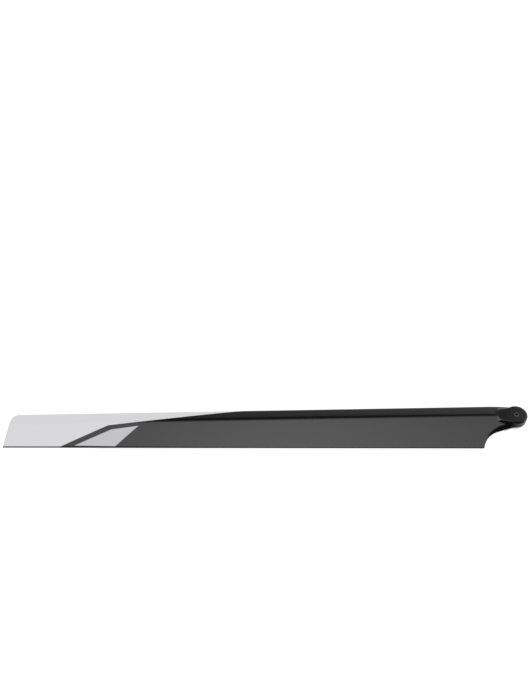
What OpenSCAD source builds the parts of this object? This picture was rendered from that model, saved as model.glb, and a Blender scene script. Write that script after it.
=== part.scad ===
// Main rotor blade of a model helicopter, moulded in carbon fibre, with a metal bolt bushing.
// The origin is the middle of the blade bolt. +X runs to the tip, +Y to the trailing edge, +Z up the bolt.
// Lengths are in millimetres.

/* [Planform] */
// Length from the bolt axis to the tip
blade_length = 900; // [700:5:1100]
// Chord of the tapered planform, taken at the bolt axis
root_chord = 86.4; // [76:0.2:96]
// Chord at the tip
tip_chord = 69.4; // [58:0.2:80]
// Radius of the leading corner of the tip
tip_corner_r = 12.5; // [8:0.5:18]
// How far the leading end of the tip stands back from the trailing corner
tip_rake = 1.5; // [0:0.1:5]
// Squareness of the rolled tip edge, 2 is an ellipse
tip_fullness = 5; // [2:0.5:8]

/* [Aerofoil] */
// Greatest thickness of the symmetric section, in percent of its chord
section_percent = 12; // [9:0.5:14]
// Thickness of the blunt trailing edge
tail_t = 1.2; // [0.6:0.1:2]

/* [Root] */
// Thickness of the root between its clamping faces
root_t = 14; // [12:0.5:18]
// Radius of the round end of the root about the bolt
boss_r = 18.4; // [15:0.1:22]
// Distance from the bolt axis to the middle of the pad's small end
pad_length = 22; // [18:0.5:30]
// Radius of the pad's small end
pad_end_r = 11.6; // [8:0.1:13]
// Height of the bevel round the clamping faces
pad_bevel = 1.2; // [0.5:0.1:1.6]
// Width of that bevel at the round end
boss_rim = 2.4; // [1:0.1:3.5]
// Width of that bevel at the pad's small end
end_rim = 1.1; // [0.5:0.1:2]
// Distance along the web at which the pad's tail side has run down to the web's edge
tail_run = 20; // [16:1:26]
// Distance from the bolt axis at which the pad's nose side has run down to the leading edge
nose_run = 16; // [12:1:20]
// Step from the rim of the boss out to the line of the leading edge
nose_step = 3.6; // [2:0.1:7]
// Length of the curve that brings the leading edge in to the boss
nose_fairing = 36; // [28:1:50]
// Distance from the bolt axis to the root corner of the trailing edge
cut_start = 63.5; // [58:0.5:80]
// Radius of the cut-out behind the root
cut_r = 42; // [38:1:55]
// Angle of the straight web between the boss and the cut-out
web_angle = 18.5; // [14:0.5:24]
// Run of the bevel along the cut-out for each unit of its height
cut_bevel = 2; // [1.2:0.1:2.4]

/* [Bolt bushing] */
// Bore for the blade bolt
bolt_d = 4; // [3:0.5:6]
// Outside diameter of the bushing
bushing_d = 8; // [7:0.5:10]
// Chamfer at both mouths of the bore
mouth_chamfer = 0.4; // [0.2:0.1:0.6]
// Glue gap round the bushing
glue_gap = 0.05; // [0.02:0.01:0.1]

/* [Hidden] */
laminate_colour = "#3a3a3c";
paint_colour = "#e6e6e9";
bushing_colour = "#5f6166";
// Points along each side of the section, and steps of the two end curves
section_steps = 26;
fairing_steps = 6;
tip_steps = 9;
// Last angle of the tip corner, where a narrow flat closes the end
tip_sweep = 88;
// How deep the edges that run into the boss end inside its rim
rim_sink = 0.3;
// How far the cut-out dips past the line of the web, so that they cross
web_dip = 0.1;
// Small discs that end the two run-outs of the pad, and their place inside the edges
run_end_r = 0.5;
run_end_t = 0.3;
run_inset = 0.7;
pad_facets = 48;
over = 1;
// Corners of the white fields: distance in from the tip, and share of the chord from nose to tail
top_field = [[530, -0.15], [183, 0.375], [81, 1.2], [-20, 1.2], [-20, -0.15]];
panel_field = [[130, 0.97], [188, 0.49], [237, 0.4], [201, 0.98]];
under_field = [[485, -0.15], [226, 0.41], [137, 1.2], [-20, 1.2], [-20, -0.15]];

nose_offset = boss_r + nose_step;
inner_r = boss_r - rim_sink;
// The nose curve is tangent to the line of the leading edge and wraps the sunk rim of the boss
nose_curve_r = (pow(nose_fairing, 2) / (nose_offset - inner_r) + nose_offset + inner_r) / 2;
skin_start = -nose_fairing * inner_r / (nose_curve_r - inner_r);
tip_start = blade_length - tip_rake - tip_corner_r;

function chord_at(x) = root_chord + (tip_chord - root_chord) * x / blade_length;
function tail_y(x) = chord_at(x) - nose_offset;
function nose_y(x) = nose_curve_r - nose_offset - sqrt(pow(nose_curve_r, 2) - pow(nose_fairing - x, 2));

// Half thickness at the share u of a chord: a four-digit symmetric section on a blunt tail
function half_t(u, chord) = tail_t / 2 * u
    + chord * section_percent / 20 * (0.2969 * sqrt(u) - 0.126 * u
    - 0.3516 * pow(u, 2) + 0.2843 * pow(u, 3) - 0.1036 * pow(u, 4));

// Each station holds its nose and tail places and its share of the full thickness
root_stations = [for (i = [0:fairing_steps])
    let (x = skin_start + (nose_fairing - skin_start) * i / fairing_steps)
    [[x, nose_y(x)], [x, tail_y(x)], 1]];
tip_stations = [for (i = [0:tip_steps])
    let (a = tip_sweep * i / tip_steps)
    let (x = tip_start + (blade_length - tip_start) * sin(a))
    [[tip_start + tip_corner_r * sin(a), tip_corner_r * (1 - cos(a)) - nose_offset],
     [x, tail_y(x)],
     pow(1 - pow(sin(a), tip_fullness), 1 / tip_fullness)]];
stations = concat(root_stations, tip_stations);

// One closed ring: over the top from tail to nose, then back underneath
shares = [for (i = [0:section_steps]) (1 - cos(180 * i / section_steps)) / 2];
top_walk = [for (i = [section_steps:-1:0]) [shares[i], 1]];
under_walk = [for (i = [1:section_steps]) [shares[i], -1]];
ring_walk = concat(top_walk, under_walk);
ring_count = len(ring_walk);
function ring(station) = let (nose = station[0], tail = station[1])
    [for (p = ring_walk)
        let (place = nose + (tail - nose) * p[0])
        [place[0], place[1], p[1] * station[2] * half_t(p[0], tail[1] - nose[1])]];

// Centre of the cut-out, along and across the web: it passes the root corner of the trailing edge
web_along = [cos(web_angle), sin(web_angle)];
web_across = [-sin(web_angle), cos(web_angle)];
corner = [cut_start, tail_y(cut_start)];
cut_across = inner_r + cut_r - web_dip;
cut_along = corner * web_along - sqrt(pow(cut_r, 2) - pow(corner * web_across - cut_across, 2));
cut_height = root_t / 2;
cut_flare = cut_bevel * cut_height;
cut_reach = 2 * root_chord;

function field_place(p) = let (x = blade_length - p[0]) [x, p[1] * chord_at(x) - nose_offset];

module skin() {
    last = len(stations) - 1;
    polyhedron(
        points = [for (s = stations) each ring(s)],
        faces = concat(
            [[for (k = [0:ring_count - 1]) k]],
            [for (j = [0:last - 1]) for (k = [0:ring_count - 1])
                let (next = (k + 1) % ring_count)
                [j * ring_count + k, (j + 1) * ring_count + k,
                 (j + 1) * ring_count + next, j * ring_count + next]],
            [[for (k = [ring_count - 1:-1:0]) last * ring_count + k]]));
}

// A waisted disc and a straight wedge, so that the cut edge is bevelled from both faces
module cut_out() {
    rotate([0, 0, web_angle]) {
        translate([cut_along, cut_across, 0])
            rotate_extrude($fn = 96)
                polygon([[0, -cut_height], [cut_r + cut_flare, -cut_height], [cut_r, 0],
                         [cut_r + cut_flare, cut_height], [0, cut_height]]);
        translate([cut_along - cut_reach, inner_r, 0])
            rotate([90, 0, 90])
                linear_extrude(cut_reach)
                    polygon([[-cut_flare, cut_height], [0, 0], [-cut_flare, -cut_height],
                             [cut_reach, -cut_height], [cut_reach, cut_height]]);
    }
}

module pad_disc(r, rim) {
    cylinder(r = r, h = root_t - 2 * pad_bevel, center = true, $fn = pad_facets);
    cylinder(r = r - rim, h = root_t, center = true, $fn = pad_facets);
}

module run_end() {
    cylinder(r = run_end_r, h = run_end_t, center = true, $fn = 12);
}

// Clamping faces round the bolt, whose sides run down to the edge of the web and to the leading edge
module root_pad() {
    hull() {
        pad_disc(boss_r, boss_rim);
        translate([pad_length, 0, 0]) pad_disc(pad_end_r, end_rim);
        rotate([0, 0, web_angle])
            translate([tail_run, inner_r - run_inset, 0])
                run_end();
        translate([nose_run, nose_y(nose_run) + run_inset, 0])
            run_end();
    }
}

module moulding() {
    difference() {
        union() {
            difference() {
                skin();
                cut_out();
            }
            root_pad();
        }
        cylinder(d = bushing_d + 2 * glue_gap, h = root_t + 2 * over, center = true, $fn = 64);
    }
}

module paint_fields() {
    for (field = [top_field, panel_field])
        linear_extrude(root_t)
            polygon([for (p = field) field_place(p)]);
    mirror([0, 0, 1])
        linear_extrude(root_t)
            polygon([for (p = under_field) field_place(p)]);
}

// One moulding in two colours: bare laminate, and the white fields of the tip
module blade() {
    color(laminate_colour)
        difference() {
            moulding();
            paint_fields();
        }
    color(paint_colour)
        intersection() {
            moulding();
            paint_fields();
        }
}

module root_bushing() {
    half = root_t / 2;
    bore_r = bolt_d / 2;
    color(bushing_colour)
        rotate_extrude($fn = 64)
            polygon([[bore_r, mouth_chamfer - half], [bore_r + mouth_chamfer, -half],
                     [bushing_d / 2, -half], [bushing_d / 2, half],
                     [bore_r + mouth_chamfer, half], [bore_r, half - mouth_chamfer]]);
}

blade();
root_bushing();
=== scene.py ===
import math

import bpy
import numpy as np
from mathutils import Matrix, Vector


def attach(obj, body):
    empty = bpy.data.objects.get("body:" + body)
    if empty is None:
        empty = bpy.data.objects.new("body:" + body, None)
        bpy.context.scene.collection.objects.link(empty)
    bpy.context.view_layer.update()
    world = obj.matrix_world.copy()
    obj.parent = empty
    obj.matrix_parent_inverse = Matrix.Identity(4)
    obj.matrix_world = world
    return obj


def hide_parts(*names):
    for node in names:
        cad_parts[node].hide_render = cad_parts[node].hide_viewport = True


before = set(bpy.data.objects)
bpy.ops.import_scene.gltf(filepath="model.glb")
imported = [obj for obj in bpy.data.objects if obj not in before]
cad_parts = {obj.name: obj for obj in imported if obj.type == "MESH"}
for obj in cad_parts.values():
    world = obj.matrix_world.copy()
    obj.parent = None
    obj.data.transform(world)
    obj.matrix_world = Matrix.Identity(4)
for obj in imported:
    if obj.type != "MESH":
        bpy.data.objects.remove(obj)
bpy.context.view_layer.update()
print("frame loaded:", sorted(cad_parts))

mm = 0.001


def gridFaces(rows, cols, first):
    # corner numbers of every cell of a rows x cols grid whose points start at number first
    at = first + np.arange(rows * cols).reshape(rows, cols)
    return np.stack([at[:-1, :-1], at[1:, :-1], at[1:, 1:], at[:-1, 1:]], axis=-1).reshape(-1, 4)


weld = {"perMm": 5000, "shift": 0.317}  # steps of a millimetre that tell points apart, set off round numbers


def meshFromGrids(name, grids, sharpDeg):
    # joins point grids (millimetres) and welds points that coincide
    # cells that fold to a line are left out, cells with one folded side become triangles
    starts = np.cumsum([0] + [grid.shape[0] * grid.shape[1] for grid in grids])
    faces = np.concatenate([gridFaces(*grid.shape[:2], first) for grid, first in zip(grids, starts)])
    points = np.concatenate([grid.reshape(-1, 3) for grid in grids])
    keys = np.round(points * weld["perMm"] + weld["shift"]).astype(np.int64)
    first, number = np.unique(keys, axis=0, return_index=True, return_inverse=True)[1:]
    points, faces = points[first], number.reshape(-1)[faces]
    folded = faces == np.roll(faces, -1, axis=1)
    quads = faces[folded.sum(1) == 0]
    one = folded.sum(1) == 1
    triangles = faces[one][~folded[one]].reshape(-1, 3)
    ends = [np.stack([f, np.roll(f, -1, axis=1)], -1).reshape(-1, 2) for f in (quads, triangles)]
    shared = np.unique(np.sort(np.concatenate(ends), axis=1), axis=0, return_counts=True)[1]
    mesh = bpy.data.meshes.new(name)
    mesh.from_pydata((points * mm).tolist(), [], quads.tolist() + triangles.tolist())
    mesh.polygons.foreach_set("use_smooth", np.ones(len(mesh.polygons), dtype=bool))
    mesh.set_sharp_from_angle(angle=math.radians(sharpDeg))
    mesh.update()
    piece = bpy.data.objects.new(name, mesh)
    bpy.context.scene.collection.objects.link(piece)
    print(name, "faces", len(mesh.polygons), "edges not shared by two faces", int((shared != 2).sum()))
    return piece


bladeShape = {  # millimetres, origin at the bolt, +X to the tip, +Y to the trailing edge
    "length": 900.0, "rootChord": 86.4, "tipChord": 69.4,
    "noseLine": 22.0, "noseFairing": 47.0,
    "thickness": 0.12, "tailT": 1.2,
    "halfRoot": 7.0, "bossR": 18.4, "padLength": 22.0, "padEndR": 11.6, "boreR": 4.05,
    # bevel round the clamping face: height, widths, rounding
    "rimBevel": 1.2, "bossRim": 2.4, "endRim": 1.1, "rimSoft": 0.4,
    "flatInset": 1.2,  # the surface lines begin this far inside the edge of the clamping face
    # widths over which the pad runs out into the skin, which change as its outline turns across the blade
    "flankTail": 6.2, "flankNose": 6.5, "flankEnd": 3.0, "tailTurn": (0.25, 0.75), "noseTurn": (0.3, 0.8),
    # how that run-out bows, above 1 hollow and below 1 round, and where one bow leads to the next
    "bowTail": 1.0, "bowCorner": 0.65, "bowNose": 0.55,
    "bowAlong": (22.0, 32.0), "bowAcross": (-6.0, 6.0), "cornerIn": (0.6, 0.85), "cornerOut": (0.8, 0.96),
    # straight valley at the foot of the nose-side run-out, and the slope of the wall that it grows from
    "noseValley": 16.0, "valleyGap": 0.3, "leastTurn": 0.2, "noseWall": 2.5,
    "tailBlend": (2.0, 14.0), "noseBlend": (9.0, 20.0),  # where the run-outs take over along the blade
    # cut-out behind the root, and the rounded corner where the trailing edge begins
    "cutStart": 63.5, "cutR": 42.0, "cutAcross": 60.0, "webDeg": 18.5, "cornerDrop": 1.0, "cornerRun": 3.0,
    # boss wall hollowed into the web, a steep bevel beside it, and where bevel and cut-out take over
    "wallHollow": 1.7, "webSlope": 1.1, "webFrom": (6.0, 14.0), "cutFrom": (6.0, 20.0),
    # bevel of the cut-out: rise, even share, rounding of the rest, and where rise and rounding change
    "cutSlope": (0.41, 0.56), "cutGentle": 0.33, "cutPower": (3.0, 6.0), "cutTurn": (30.0, 54.0),
    "tipCorner": 12.5, "tipRake": 1.5, "tipPower": 5.0,
    # lines across the blade
    "noseLines": 34, "rimLines": 16, "tailLines": 42, "wallLines": 3, "faceLines": 6,
    # stations along each stretch of it
    "rimSteps": 19, "bossSteps": (32, 5, 26), "padSteps": 40, "endSteps": 26, "webSteps": 16, "cutSteps": 74,
    "tailBreaks": (2.0, 14.0), "tailSteps": (11, 19, 82),
    "tipTurnDeg": 62, "tipSteps": (15, 26), "tipLeast": 0.01,
    "sharpDeg": 40,
}


def makeBlade(s):
    bossR, padLength, flatZ = s["bossR"], s["padLength"], s["halfRoot"]
    web = math.radians(s["webDeg"])
    along, across = np.array([math.cos(web), math.sin(web)]), np.array([-math.sin(web), math.cos(web)])

    def padOutline(bossInset, endInset):
        # two discs drawn in by the insets: their radii, and the lean of their common tangents
        big, small = bossR - bossInset, s["padEndR"] - endInset
        lean = math.asin((big - small) / padLength)
        return big, small, math.sin(lean), math.cos(lean)

    padLine = padOutline(0, 0)
    flatLine = padOutline(s["bossRim"], s["endRim"])
    innerLine = padOutline(s["bossRim"] + s["flatInset"], s["endRim"] + s["flatInset"])
    noseR = (s["noseFairing"] ** 2 / (s["noseLine"] - bossR) + s["noseLine"] + bossR) / 2
    noseStart = -s["noseFairing"] * bossR / (noseR - bossR)
    webStart = bossR * across
    tipStart = s["length"] - s["tipRake"] - s["tipCorner"]
    flatStart, flatEnd = -innerLine[0], padLength + innerLine[1]

    def chordAt(x):
        return s["rootChord"] + (s["tipChord"] - s["rootChord"]) * x / s["length"]

    def tailY(x):
        # straight trailing edge: the chord tapers evenly behind a straight leading edge
        return chordAt(x) - s["noseLine"]

    # cut-out circle: touches the web line and passes the root corner of the trailing edge
    corner = np.array([s["cutStart"], tailY(s["cutStart"])])
    cutAlong = corner @ along - math.sqrt(s["cutR"] ** 2 - (corner @ across - s["cutAcross"]) ** 2)
    cutMid = cutAlong * along + s["cutAcross"] * across
    webDrop = bossR + s["cutR"] - s["cutAcross"]  # the web line comes in by this much along its length
    webEnd = cutAlong * along + (bossR - webDrop) * across

    def smooth(low, high, v):
        # 0 up to low, 1 from high on, with an S-curve between
        t = np.clip((v - low) / (high - low), 0, 1)
        return t * t * (3 - 2 * t)

    def softMin(a, b, k):
        # the lower of two heights, rounded where they come within k of each other
        return np.minimum(a, b) - np.clip(k - np.abs(a - b), 0, None) ** 2 / (4 * k)

    def padHalf(x, big, small, leanX, leanY):
        # half width of a pad outline at x: disc about the bolt, common tangent, then the small disc
        disc = np.sqrt(np.clip(big ** 2 - x ** 2, 0, None))
        end = np.sqrt(np.clip(small ** 2 - (x - padLength) ** 2, 0, None))
        line = (big - x * leanX) / leanY
        return np.where(x < big * leanX, disc, np.where(x < padLength + small * leanX, line, end))

    def padDistance(x, y, big, small, leanX, leanY):
        # distance outside a pad outline, and how far that way out points across the blade
        y = np.abs(y)
        place = x * leanY - y * leanX
        boss, end = np.hypot(x, y), np.hypot(x - padLength, y)
        zones = [place < 0, place > leanY * padLength]
        far = np.select(zones, [boss - big, end - small], x * leanX + y * leanY - big)
        return far, np.select(zones, [y / np.maximum(boss, 1), y / np.maximum(end, 1)], leanY)

    def noseY(x):
        # boss rim, an arc that touches the rim and the leading edge, then the straight leading edge
        ahead = s["noseFairing"] - np.minimum(x, s["noseFairing"])
        arc = noseR - s["noseLine"] - np.sqrt(noseR ** 2 - ahead ** 2)
        return np.where(x < noseStart, -padHalf(x, *padLine), arc)

    def rearY(x):
        # boss rim, straight web, arc of the cut-out, then the trailing edge
        line = webStart[1] + (x - webStart[0]) * (webEnd[1] - webStart[1]) / (webEnd[0] - webStart[0])
        arc = cutMid[1] - np.sqrt(np.clip(s["cutR"] ** 2 - (x - cutMid[0]) ** 2, 0, None))
        tail = tailY(x) - s["cornerDrop"] * np.clip(1 - (x - s["cutStart"]) / s["cornerRun"], 0, 1) ** 2
        edge = np.where(x < webEnd[0], line, np.where(x < s["cutStart"], np.minimum(arc, tail), tail))
        return np.where(x < webStart[0], padHalf(x, *padLine), edge)

    def halfT(u, chord):
        # four-digit symmetric section standing on a blunt tail
        bow = 0.2969 * np.sqrt(u) - 0.126 * u - 0.3516 * u ** 2 + 0.2843 * u ** 3 - 0.1036 * u ** 4
        return s["tailT"] / 2 * u + chord * s["thickness"] * 5 * bow

    def cutDepth(x, y):
        # distance inside the edge of the web and the cut-out
        a, n = x * along[0] + y * along[1], x * across[0] + y * across[1]
        straight = bossR - webDrop * a / cutAlong - n
        return np.where(a < cutAlong, straight, np.hypot(a - cutAlong, n - s["cutAcross"]) - s["cutR"])

    def cutDown(x, y, top, wallLine):
        # beside the boss the wall runs out hollow to the parting edge
        # further on a bevel cuts the skin from that edge
        depth = np.clip(cutDepth(x, y), 0, None)
        wallDepth = np.maximum(cutDepth(wallLine[..., 0], wallLine[..., 1]), 1e-6)
        hollow = wallLine[..., 2] * np.clip(depth / wallDepth, 0, 1) ** s["wallHollow"]
        # the bevel falls gently from its inner line and then ever steeper to the parting edge
        turned = smooth(*s["cutTurn"], x)
        slope, power = (s[k][0] + (s[k][1] - s[k][0]) * turned for k in ("cutSlope", "cutPower"))
        way = np.clip(1 - depth * slope / np.maximum(top, 0.01), 0, 1)
        bevel = top * (1 - s["cutGentle"] * way - (1 - s["cutGentle"]) * way ** power)
        steep = np.minimum(top, s["webSlope"] * depth)
        bevel = steep + (bevel - steep) * smooth(*s["cutFrom"], x)
        edge = np.minimum(top, hollow + (bevel - hollow) * smooth(*s["webFrom"], x))
        return np.where(x < webStart[0], top, edge)

    def topZ(x, y, u, chord, share, isRear):
        # skin, raised to the pad over its bevelled rim and its flanks, and levelled at the clamping face
        skin = share * halfT(u, chord)
        far, turn = padDistance(x, y, *flatLine)
        beyond = padDistance(x, y, *padLine)[0]
        rim = flatZ - s["rimBevel"] * far / (far - beyond)
        bowNose = s["bowNose"] + (1 - s["bowNose"]) * smooth(*s["bowAlong"], x)
        bow = bowNose + (s["bowTail"] - bowNose) * smooth(*s["bowAcross"], y)
        if isRear:
            width = s["flankEnd"] + (s["flankTail"] - s["flankEnd"]) * smooth(*s["tailTurn"], turn)
            leave = 1 - smooth(*s["cornerOut"], turn)
            bow = bow + (s["bowCorner"] - bow) * leave * smooth(*s["cornerIn"], turn)
            side, blend = rim, s["tailBlend"]
        else:
            # the run-out on the nose side ends along a straight valley
            valley = np.maximum(s["noseValley"], padHalf(x, *padLine) + s["valleyGap"])
            reach = far + np.clip(valley - np.abs(y), 0, None) / np.maximum(turn, s["leastTurn"])
            width = s["flankEnd"] + (s["flankNose"] - s["flankEnd"]) * smooth(*s["noseTurn"], turn)
            width = np.minimum(width, reach)
            wall = flatZ - s["rimBevel"] - s["noseWall"] * beyond
            side = np.maximum(skin, np.where(beyond < 0, rim, wall))
            blend = s["noseBlend"]
        flank = skin + (flatZ - skin) * np.clip(1 - far / width, 0, None) ** bow
        return softMin(side + (flank - side) * smooth(*blend, x), flatZ, s["rimSoft"])

    # stations along the blade, each stretch with its own spacing
    bigR, smallR, leanX = innerLine[:3]
    bigTurn = [math.acos(v / bigR) for v in (flatStart, webStart[0], noseStart, bigR * leanX)]
    cutTurn = [math.asin((v - cutMid[0]) / s["cutR"]) for v in (webEnd[0], s["cutStart"])]
    tailAt = [s["cutStart"], *(s["cutStart"] + v for v in s["tailBreaks"]), tipStart]
    stretches = [-bossR + (bossR - bigR) * np.linspace(0, 1, s["rimSteps"]) ** 2]
    for i, count in enumerate(s["bossSteps"]):
        stretches.append(bigR * np.cos(np.linspace(bigTurn[i], bigTurn[i + 1], count)))
    stretches += [
        np.linspace(bigR * leanX, padLength + smallR * leanX, s["padSteps"]),
        padLength + smallR * np.cos(np.linspace(math.acos(leanX), 0, s["endSteps"])),
        np.linspace(flatEnd, webEnd[0], s["webSteps"]),
        cutMid[0] + s["cutR"] * np.sin(np.linspace(*cutTurn, s["cutSteps"])),
    ]
    for i, count in enumerate(s["tailSteps"]):
        stretches.append(np.linspace(tailAt[i], tailAt[i + 1], count))
    xs = np.concatenate([stretches[0]] + [part[1:] for part in stretches[1:]])

    # tip stations: the corner turns while the thickness closes on a squared-off curve
    turns = np.linspace(0, math.radians(s["tipTurnDeg"]), s["tipSteps"][0])[1:]
    rolls = np.linspace(0, math.pi / 2, s["tipSteps"][1])
    reach = np.concatenate([np.sin(turns), np.sin(rolls) ** (2 / s["tipPower"])])
    reach = np.unique(np.round(reach[reach > s["tipLeast"]], 6))
    tipShare = np.clip(1 - reach ** s["tipPower"], 0, None) ** (1 / s["tipPower"])
    tailX = np.concatenate([xs, tipStart + (s["length"] - tipStart) * reach])
    noseX = np.concatenate([xs, tipStart + s["tipCorner"] * reach])
    cornerY = s["tipCorner"] * (1 - np.sqrt(1 - reach ** 2)) - s["noseLine"]
    noseLineY = np.concatenate([noseY(xs), cornerY])
    share = np.concatenate([np.ones_like(xs), tipShare])
    chord = tailY(tailX) - noseLineY
    hasFlat = (noseX > flatStart - 1e-9) & (noseX < flatEnd + 1e-9)
    half = np.where(hasFlat, padHalf(noseX, *innerLine), 0)
    sideEnd = padLength + padLine[1] * padLine[2]
    wallY = np.where(noseX < sideEnd, padHalf(noseX, *padLine), padLine[1] * padLine[3])
    # shares of the chord at which the pad begins and ends, the boss wall stands and the edge lies
    isTip, tipChord = noseX > tipStart, chordAt(tipStart)
    split = np.where(isTip, s["noseLine"] / tipChord, -noseLineY / chord)
    innerNose = np.where(isTip, split, (-half - noseLineY) / chord)
    innerTail = np.where(isTip, split, (half - noseLineY) / chord)
    wallAt = np.where(isTip, (s["noseLine"] + wallY) / tipChord, (wallY - noseLineY) / chord)
    rear = np.where(isTip, 1, (rearY(noseX) - noseLineY) / chord)

    def wing(start, end, shares, isRear, wallLine=None):
        # surface between two lines of chord shares: x and y lie on each station's chord, z is worked out there
        u = np.clip(start[:, None] + (end - start)[:, None] * shares, 0, 1)
        x = noseX[:, None] + (tailX - noseX)[:, None] * u
        y = noseLineY[:, None] + chord[:, None] * u
        z = topZ(x, y, u, chord[:, None], share[:, None], isRear)
        if wallLine is not None:
            z = cutDown(x, y, z, wallLine)
        return np.stack([x, y, np.clip(z, 0, None)], -1)

    # lines across: nose to pad, pad to the boss wall, then the foot of the wall to the edge
    noseWays = 1 - np.cos(np.linspace(0, math.pi / 2, s["noseLines"] + 1))
    rimWays = (1 - np.cos(np.linspace(0, math.pi, s["rimLines"] + 1))) / 2
    tailWays = (1 - np.cos(np.linspace(0, math.pi, s["tailLines"] + 1))) / 2
    noseWing = wing(np.zeros_like(innerNose), innerNose, noseWays, False)
    padWing = wing(innerTail, wallAt, rimWays, True)
    tailWing = np.concatenate([padWing, wing(wallAt, rear, tailWays, True, padWing[:, -1:])], 1)
    noseWing[hasFlat, -1, 2] = flatZ
    tailWing[hasFlat, 0, 2] = flatZ
    tailWing[~hasFlat, 0] = noseWing[~hasFlat, -1]

    def strip(line):
        # wall from an edge line down to the parting plane
        down = np.linspace(1, 0, s["wallLines"] + 1)[None, :, None]
        grid = np.repeat(line[:, None, :], s["wallLines"] + 1, 1)
        return grid * np.concatenate([np.ones_like(down), np.ones_like(down), down], -1)

    grids = [noseWing, tailWing, strip(noseWing[:, 0])[:, ::-1], strip(tailWing[:, -1])]

    # clamping face and bore: lines from the flat's outline in to the bore, on each side of the blade
    for side, rim in ((-1, noseWing[hasFlat, -1]), (1, tailWing[hasFlat, 0])):
        angle = np.arctan2(np.abs(rim[:, 1]), rim[:, 0]) * side
        mouth = s["boreR"] * np.stack([np.cos(angle), np.sin(angle)], -1)
        ways = np.linspace(0, 1, s["faceLines"])[None, :, None]
        flatXY = rim[:, None, :2] + (mouth - rim[:, :2])[:, None] * ways
        flat = np.concatenate([flatXY, np.full_like(flatXY[..., :1], flatZ)], -1)
        grids += [grid[:, ::-side] for grid in (flat, strip(flat[:, -1]))]

    under = [grid[:, ::-1] * np.array([1, 1, -1]) for grid in grids]
    return meshFromGrids("bladeMoulding", grids + under, s["sharpDeg"])


blade = makeBlade(bladeShape)
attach(blade, "root")
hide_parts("blade")


bushingShape = {"boreR": 2.0, "outR": 4.0, "half": 7.0, "mouth": 0.4, "lip": 0.12,  # millimetres
                "lipSteps": 5, "turns": 96, "sharpDeg": 30}


def makeBushing(s):
    # turned sleeve: half its profile carried round the bolt axis, and its mirror image below
    lipTurn = np.linspace(0, math.pi / 2, s["lipSteps"])
    lipR = s["outR"] - s["lip"] + s["lip"] * np.sin(lipTurn)
    lipZ = s["half"] - s["lip"] + s["lip"] * np.cos(lipTurn)
    r = np.concatenate([[s["boreR"], s["boreR"], s["boreR"] + s["mouth"]], lipR, [s["outR"]]])
    z = np.concatenate([[0, s["half"] - s["mouth"], s["half"]], lipZ, [0]])
    turn = np.linspace(0, 2 * math.pi, s["turns"] + 1)[:, None]
    heights = np.broadcast_to(z, (s["turns"] + 1, len(z)))
    top = np.stack([r * np.cos(turn), r * np.sin(turn), heights], -1)[:, ::-1]
    return meshFromGrids("boltBushing", [top, top[:, ::-1] * np.array([1, 1, -1])], s["sharpDeg"])


bushing = makeBushing(bushingShape)
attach(bushing, "root")
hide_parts("root_bushing")


class Wire:
    # a node socket that takes part in sums

    def __init__(self, tree, socket=None):
        self.tree, self.socket = tree, socket

    def node(self, kind, settings=None, inputs=None, out=0):
        made = self.tree.nodes.new(kind)
        for key, value in (settings or {}).items():
            setattr(made, key, value)
        for key, value in (inputs or {}).items():
            if isinstance(value, Wire):
                self.tree.links.new(value.socket, made.inputs[key])
            else:
                made.inputs[key].default_value = value
        return Wire(self.tree, made.outputs[out])

    def math(self, operation, first, second=0.0, clamp=False):
        settings = {"operation": operation, "use_clamp": clamp}
        return self.node("ShaderNodeMath", settings, {0: first, 1: second})

    def noise(self, place, scale, detail):
        return self.node("ShaderNodeTexNoise", {}, {"Vector": place, "Scale": scale, "Detail": detail})

    def __add__(self, other):
        return self.math("ADD", self, other)

    __radd__ = __add__

    def __sub__(self, other):
        return self.math("SUBTRACT", self, other)

    def __rsub__(self, other):
        return self.math("SUBTRACT", other, self)

    def __mul__(self, other):
        return self.math("MULTIPLY", self, other)

    __rmul__ = __mul__

    def over(self, width):
        # 0 below, 1 above, with a slope of this width through zero
        return self.math("ADD", self * (1 / width), 0.5, clamp=True)

    def top(self, other):
        return self.math("MAXIMUM", self, other)

    def low(self, other):
        return self.math("MINIMUM", self, other)

    def mix(self, first, second):
        # this value leads from the first colour to the second
        return self.node("ShaderNodeMix", {"data_type": "RGBA"}, {0: self, 6: first, 7: second}, 2)


def splitAxes(tree, place):
    parts = Wire(tree).node("ShaderNodeSeparateXYZ", inputs={0: place})
    return [Wire(tree, parts.socket.node.outputs[i]) for i in range(3)]


def newMaterial(name):
    material = bpy.data.materials.new(name)
    material.use_nodes = True
    tree = material.node_tree
    shader = next(n for n in tree.nodes if n.type == "BSDF_PRINCIPLED")
    return material, tree, shader, Wire(tree).node("ShaderNodeTexCoord", out="Object")


def millimetres(tree, place):
    return [axis * (1 / mm) for axis in splitAxes(tree, place)]


def plug(tree, shader, links, constants):
    for key, value in constants.items():
        shader.inputs[key].default_value = value
    for key, wire in links.items():
        tree.links.new(wire.socket, shader.inputs[key])


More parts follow.
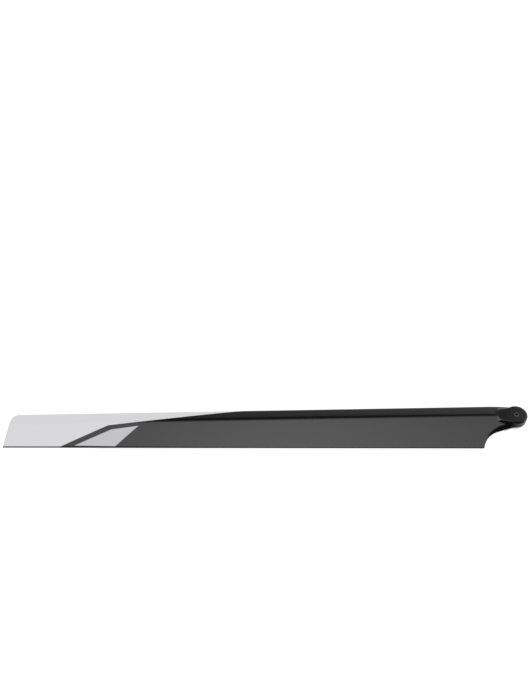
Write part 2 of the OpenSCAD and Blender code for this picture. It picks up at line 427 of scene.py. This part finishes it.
# clear-coated laminate, white fields of the tip, matt clamping faces, sanded seam along the tail drawn wide
# enough to paint the shadow line along it too
bladeFinish = {
    "laminate": (0.0022, 0.0022, 0.0023, 1), "laminateLight": (0.0034, 0.0034, 0.0035, 1),
    "towWidth": 2.2, "twillSoft": 0.2, "twillShare": 0.4,
    "cloudScale": 14.0, "peelScale": 420.0, "gritScale": 2600.0,
    "white": (0.815, 0.815, 0.825, 1), "panel": (0.635, 0.635, 0.65, 1), "edgeSoft": 0.25, "partSoft": 0.02,
    "topLine": [(798.2, 48.8), (716.1, 6.7), (482.5, -20.4)],  # edge of the white tip, upper face
    "underLine": [(739.6, 49.5), (673.9, 7.9), (528.1, -15.4)],  # and lower face
    "panelCorners": [(771.1, 46.3), (709.6, 15.6), (661.5, 8.9), (698.3, 48.7)],
    # seam along the tail, partly a sanded edge and partly painted shadow: its width, what it gains towards the
    # tip, and where
    "seamAndShadow": (0.010, 0.010, 0.010, 1), "seamAndShadowOnPaint": (0.13, 0.13, 0.132, 1), "seamSoft": 0.3,
    "seamAndShadowWidth": 0.9, "seamAndShadowGrow": 1.2, "growAt": 560.0, "growRun": 240.0,
    # clamping faces, painted lighter towards the round end: painted light standing in for how the light falls
    # on the matt face
    "padColour": (0.0145, 0.0145, 0.0148, 1), "padPaintedLight": (0.030, 0.030, 0.0305, 1),
    "padFrom": 6.93, "padSoft": 0.03, "padToneAt": 4.0, "padToneRun": 34.0,
    # roughness of the bare laminate, and what each place adds or, for paint, takes off
    "rough": 0.36, "roughCloud": 0.08, "roughPaint": 0.08,
    "roughPad": 0.14, "roughGrit": 0.08, "roughSeam": 0.2,
    # clear coat, thin over the paint and cut back on the boss wall, a painted shade that darkens the wall's
    # reflection of the floor
    "specular": 0.05, "coatRough": 0.06, "coatIor": 1.5, "paintLoss": 0.75,
    "wallShadeLoss": 0.5, "wallShadeFrom": 17.5, "wallShadeSoft": 1.0, "wallShadeTo": 12.0, "wallShadeRun": 16.0,
    # relief, as shares of the bump's distance in metres
    "peelRise": 0.4, "twillRise": 0.03, "gritRise": 6.0, "bump": 0.000002,
}


def lineSide(x, y, p, q):
    # distance to the left of the line from p to q
    length = math.hypot(q[0] - p[0], q[1] - p[1])
    nx, ny = -(q[1] - p[1]) / length, (q[0] - p[0]) / length
    return x * nx + y * ny - (p[0] * nx + p[1] * ny)


def makeBladeFinish(f, s):
    material, tree, shader, place = newMaterial("bladeFinish")
    x, y, z = millimetres(tree, place)

    def paintPast(line):
        # painted to the left of either part of a bent line
        return lineSide(x, y, *line[:2]).top(lineSide(x, y, *line[1:])).over(f["edgeSoft"])

    upper = z.over(f["partSoft"])
    white = upper * paintPast(f["topLine"]) + (1 - upper) * paintPast(f["underLine"])
    corners = f["panelCorners"]
    sides = [0 - lineSide(x, y, corners[i], corners[(i + 1) % 4]) for i in range(4)]
    panel = upper * sides[0].low(sides[1]).low(sides[2]).low(sides[3]).over(f["edgeSoft"])
    painted = white.top(panel)

    # clamping faces are the only places this far from the middle plane
    pad = (z.math("ABSOLUTE", z) - f["padFrom"]).over(f["padSoft"])
    taper = (s["tipChord"] - s["rootChord"]) / s["length"]
    behind = y - x * taper - (s["rootChord"] - s["noseLine"])  # how far behind the trailing edge line
    grown = (x - f["growAt"]).over(f["growRun"]) * f["seamAndShadowGrow"]
    # sanded seam along the tail, widened past the edge so that its dark colour also paints the shadow line
    # along the trailing edge
    seamAndShadow = (behind + f["seamAndShadowWidth"] + grown).over(f["seamSoft"])

    # twill under the coat: two bundles over, two under
    along, across = x * (1 / f["towWidth"]), y * (1 / f["towWidth"])
    step = z.math("FLOOR", along) + z.math("FLOOR", across)
    twill = (z.math("FLOORED_MODULO", step, 4.0) - 1.5).over(f["twillSoft"])
    cloud = z.noise(place, f["cloudScale"], 3.0)
    peel = z.noise(place, f["peelScale"], 1.0)
    grit = z.noise(place, f["gritScale"], 2.0)

    colour = (twill * f["twillShare"] + cloud * (1 - f["twillShare"])).mix(f["laminate"], f["laminateLight"])
    colour = white.mix(colour, f["white"])
    colour = panel.mix(colour, f["panel"])
    colour = seamAndShadow.mix(colour, painted.mix(f["seamAndShadow"], f["seamAndShadowOnPaint"]))
    # painted light: the clamping face's colour grows lighter towards the round end
    padShading = (f["padToneAt"] - x).over(f["padToneRun"])
    colour = pad.mix(colour, padShading.mix(f["padColour"], f["padPaintedLight"]))

    roughness = f["rough"] + cloud * f["roughCloud"] - painted * f["roughPaint"]
    roughness = roughness + pad * (f["roughPad"] + grit * f["roughGrit"]) + seamAndShadow * f["roughSeam"]
    # painted shade: less coat on the boss wall darkens what it mirrors, standing in for shadow on the floor
    # beside the boss
    wallShade = (z.math("SQRT", x * x + y * y) - f["wallShadeFrom"]).over(f["wallShadeSoft"])  # the boss wall shines less
    wallShade = wallShade * (f["wallShadeTo"] - x).over(f["wallShadeRun"])
    coat = (1 - pad.top(seamAndShadow)) * (1 - painted * f["paintLoss"]) * (1 - wallShade * f["wallShadeLoss"])
    height = peel * f["peelRise"] + twill * f["twillRise"] * (1 - painted) + pad * grit * f["gritRise"]
    bump = z.node("ShaderNodeBump", {}, {"Strength": 1.0, "Distance": f["bump"], "Height": height})
    plug(tree, shader,
         {"Base Color": colour, "Roughness": roughness, "Coat Weight": coat, "Normal": bump},
         {"Specular IOR Level": f["specular"], "Coat Roughness": f["coatRough"], "Coat IOR": f["coatIor"]})
    return material


blade.data.materials.append(makeBladeFinish(bladeFinish, bladeShape))


# turned metal, dulled dark, with fine rings about the bolt
bushingFinish = {
    "metal": (0.07, 0.07, 0.074, 1), "metalLight": (0.11, 0.112, 0.116, 1),
    "ringPitch": 0.22, "ringShare": 0.4, "hazeScale": 900.0,  # pitch in millimetres
    "rough": 0.34, "roughHaze": 0.12, "bumpStrength": 0.6, "bump": 0.000008,
}


def makeBushingFinish(f):
    material, tree, shader, place = newMaterial("turnedMetal")
    x, y, z = millimetres(tree, place)
    radius = z.math("SQRT", x * x + y * y)
    rings = z.math("SINE", radius * (2 * math.pi / f["ringPitch"])) * 0.5 + 0.5
    haze = z.noise(place, f["hazeScale"], 2.0)
    colour = (rings * f["ringShare"] + haze * (1 - f["ringShare"])).mix(f["metal"], f["metalLight"])
    relief = {"Strength": f["bumpStrength"], "Distance": f["bump"], "Height": rings}
    bump = z.node("ShaderNodeBump", {}, relief)
    plug(tree, shader,
         {"Base Color": colour, "Roughness": f["rough"] + haze * f["roughHaze"], "Normal": bump},
         {"Metallic": 1.0})
    return material


bushing.data.materials.append(makeBushingFinish(bushingFinish))
print("finishes made")


def stageMesh(name, grid):
    mesh = bpy.data.meshes.new(name)
    mesh.from_pydata(grid.reshape(-1, 3).tolist(), [], gridFaces(*grid.shape[:2], 0).tolist())
    piece = bpy.data.objects.new(name, mesh)
    bpy.context.scene.collection.objects.link(piece)
    return piece


stageSet = {  # metres
    "floorSize": 7.0, "floorX": 0.45, "floorTone": (0.30, 0.30, 0.30, 1), "floorRough": 0.9, "floorGlow": 0.86,
    "room": 0.83, "roomBlue": 1.01,  # even light from all round, a touch blue
    # from here on millimetres: the blade lies on its boss and near its tip
    "restAt": 870.0, "restHalf": 4.25, "bossHalf": 7.0,
    # contact shade: a disc under the boss, and a band beside the crook of the web
    "shadeGlow": 0.03, "shadeX": 4.0, "shadeR": 19.3, "shadeSoft": 4.5,
    "crookX": 13.0, "crookHalf": 7.0, "crookEnds": 8.0, "crookSide": 4.0,
    "crookTurn": 0.42, "crookAt": 14.8, "crookSoft": 3.5,
}


def makeFloor(s):
    # a plane that touches the boss and the rest point near the tip
    half = s["floorSize"] / 2
    x, y = np.meshgrid(np.array([-half, half]) + s["floorX"], np.array([-half, half]), indexing="ij")
    z = -s["bossHalf"] * mm + x * (s["bossHalf"] - s["restHalf"]) / s["restAt"]
    floor = stageMesh("floor", np.stack([x, y, z], -1))
    material, tree, shader, place = newMaterial("paleFloor")
    x, y, z = millimetres(tree, place)
    # painted contact shadow: the floor's glow is cut to near black in a disc under the boss and a band in the
    # crook of the web, which also darkens the floor under the bolt hole
    off = x - s["shadeX"]
    ring = (z.math("SQRT", off * off + y * y) - s["shadeR"]).over(s["shadeSoft"])
    ends = (z.math("ABSOLUTE", x - s["crookX"]) - s["crookHalf"]).over(s["crookEnds"])
    beside = ends.top((0 - y).over(s["crookSide"]))
    crook = (y - x * s["crookTurn"] - s["crookAt"]).over(s["crookSoft"]).top(beside)
    shade = (s["shadeGlow"], s["shadeGlow"], s["shadeGlow"], 1)
    plug(tree, shader,
         {"Emission Color": (ring * crook).mix(shade, (1, 1, 1, 1))},
         {"Base Color": s["floorTone"], "Roughness": s["floorRough"], "Specular IOR Level": 0.0,
          "Emission Strength": s["floorGlow"]})
    floor.data.materials.append(material)
    world = bpy.data.worlds.new("paleRoom")
    world.use_nodes = True
    back = next(n for n in world.node_tree.nodes if n.type == "BACKGROUND")
    back.inputs[0].default_value = (s["room"], s["room"], s["room"] * s["roomBlue"], 1)
    bpy.context.scene.world = world


makeFloor(stageSet)


def glowOnly(piece, level, tree, shader, material):
    # a lit panel that only gloss sees
    glow = level.node("ShaderNodeEmission", {}, {"Strength": level})
    tree.links.new(glow.socket, next(n for n in tree.nodes if n.type == "OUTPUT_MATERIAL").inputs[0])
    tree.nodes.remove(shader)
    piece.data.materials.append(material)
    piece.visible_camera = piece.visible_diffuse = False
    piece.visible_shadow = piece.visible_transmission = False


# what the gloss mirrors, in metres: a dark tent that is grey low down on two sides
tentSet = {
    "radius": 6.0, "middle": (0.45, 0.0, 0.0), "turns": 49, "rises": 25, "dark": 0.02,
    # far side: a grey that changes along the blade, up to a soft top edge, and what is left above it
    "grey": 0.43, "greyTurn": -0.62, "greyRange": (0.33, 0.8), "greyTop": 0.731, "greySoft": 0.048, "gap": 0.22,
    "farFrom": 0.3, "nearFrom": -0.1, "sideSoft": 0.3,
    "nearLevel": 0.34, "nearTop": 0.42, "nearSoft": 0.14,  # near side: an even low band
}


def makeTent(s):
    # a ball round the blade, whose glow depends on the way out from its middle
    turns = np.linspace(0, 2 * math.pi, s["turns"])
    rises = np.linspace(-math.pi / 2, math.pi / 2, s["rises"])
    turn, rise = np.meshgrid(turns, rises, indexing="ij")
    ball = np.stack([np.cos(rise) * np.cos(turn), np.cos(rise) * np.sin(turn), np.sin(rise)], -1)
    tent = stageMesh("reflectionTent", ball * s["radius"] + np.array(s["middle"]))
    material, tree, shader, place = newMaterial("tentGlow")
    away = place.node("ShaderNodeVectorMath", {"operation": "SUBTRACT"}, {0: place, 1: s["middle"]})
    toward = place.node("ShaderNodeVectorMath", {"operation": "NORMALIZE"}, {0: away})
    x, y, z = splitAxes(tree, toward)
    least, most = s["greyRange"]
    grey = (s["grey"] + x * s["greyTurn"]).top(least).low(most) - s["gap"]
    far = (0 - y - s["farFrom"]).over(s["sideSoft"])
    low = (s["greyTop"] - z).over(s["greySoft"])
    near = (y - s["nearFrom"]).over(s["sideSoft"]) * (s["nearTop"] - z).over(s["nearSoft"]) * s["nearLevel"]
    glowOnly(tent, far * (grey * low + s["gap"]) + near + s["dark"], tree, shader, material)


# a long soft box over the blade
boxSet = {
    "x": (-2.4, 3.0), "y": (-0.85, -0.1), "z": 1.0, "level": 2.1,
    "ends": 0.63, "middle": 0.43, "reach": 0.515,  # dimmer towards both ends
    # soft edges, each at a slant, and a gain towards the near one
    "farAt": -0.733, "farTurn": 0.05, "farSoft": 0.07, "nearAt": -0.125, "nearTurn": -0.055, "nearSoft": 0.12,
    "gain": 0.35, "gainFrom": -0.52,
}


def makeSoftBox(s):
    # a level sheet, brightest at its middle along the blade
    x, y = np.meshgrid(np.array(s["x"]), np.array(s["y"]), indexing="ij")
    box = stageMesh("softBox", np.stack([x, y, np.full_like(x, s["z"])], -1))
    material, tree, shader, place = newMaterial("softBoxGlow")
    x, y, z = splitAxes(tree, place)
    off = (x - s["middle"]) * (1 / s["reach"])
    fall = z.math("EXPONENT", 0 - off * off) * (1 - s["ends"]) + s["ends"]
    far = (y - x * s["farTurn"] - s["farAt"]).over(s["farSoft"])
    near = (x * s["nearTurn"] + s["nearAt"] - y).over(s["nearSoft"])
    gain = 1 + (y - s["gainFrom"]) * s["gain"]
    glowOnly(box, fall * far * near * gain * s["level"], tree, shader, material)


# and a panel at the root's end
panelSet = {"x": -2.2, "y": (-2.0, 0.4), "z": (0.5, 2.4), "level": 1.9, "soft": 0.25}


def makeSidePanel(s):
    # an upright sheet past the root, soft all round
    y, z = np.meshgrid(np.array(s["y"]), np.array(s["z"]), indexing="ij")
    side = stageMesh("sidePanel", np.stack([np.full_like(y, s["x"]), y, z], -1))
    material, tree, shader, place = newMaterial("sidePanelGlow")
    x, y, z = splitAxes(tree, place)
    edge = (y - s["y"][0]).low(s["y"][1] - y).low(z - s["z"][0]).low(s["z"][1] - z)
    glowOnly(side, (edge - s["soft"] / 2).over(s["soft"]) * s["level"], tree, shader, material)


makeTent(tentSet)
makeSoftBox(boxSet)
makeSidePanel(panelSet)
print("stage lit")


view = {  # metres and pixels
    "place": (0.3544, 0.7963, 1.1617), "look": (0.0567, -0.6424, -0.7643), "rollDeg": -5.1277,
    "focalPx": 793.309, "longSidePx": 686, "sensor": 36.0, "clip": (0.01, 50.0),
}


def makeCamera(v):
    # looks along the given way, with the level right and up axes turned by the roll
    data = bpy.data.cameras.new("camera")
    camera = bpy.data.objects.new("camera", data)
    bpy.context.scene.collection.objects.link(camera)
    data.sensor_width = v["sensor"]
    data.lens = v["focalPx"] * v["sensor"] / v["longSidePx"]
    data.clip_start, data.clip_end = v["clip"]
    look = Vector(v["look"]).normalized()
    right = look.cross(Vector((0, 0, 1))).normalized()
    up = right.cross(look)
    c, n = math.cos(math.radians(v["rollDeg"])), math.sin(math.radians(v["rollDeg"]))
    turnedRight, turnedUp = right * c + up * n, up * c - right * n
    axes = Matrix((turnedRight, turnedUp, -look)).transposed()
    camera.matrix_world = Matrix.Translation(v["place"]) @ axes.to_4x4()
    bpy.context.scene.camera = camera


makeCamera(view)
bpy.context.scene.view_settings.view_transform = "Standard"
bpy.context.scene.view_settings.look = "None"
print("camera set")
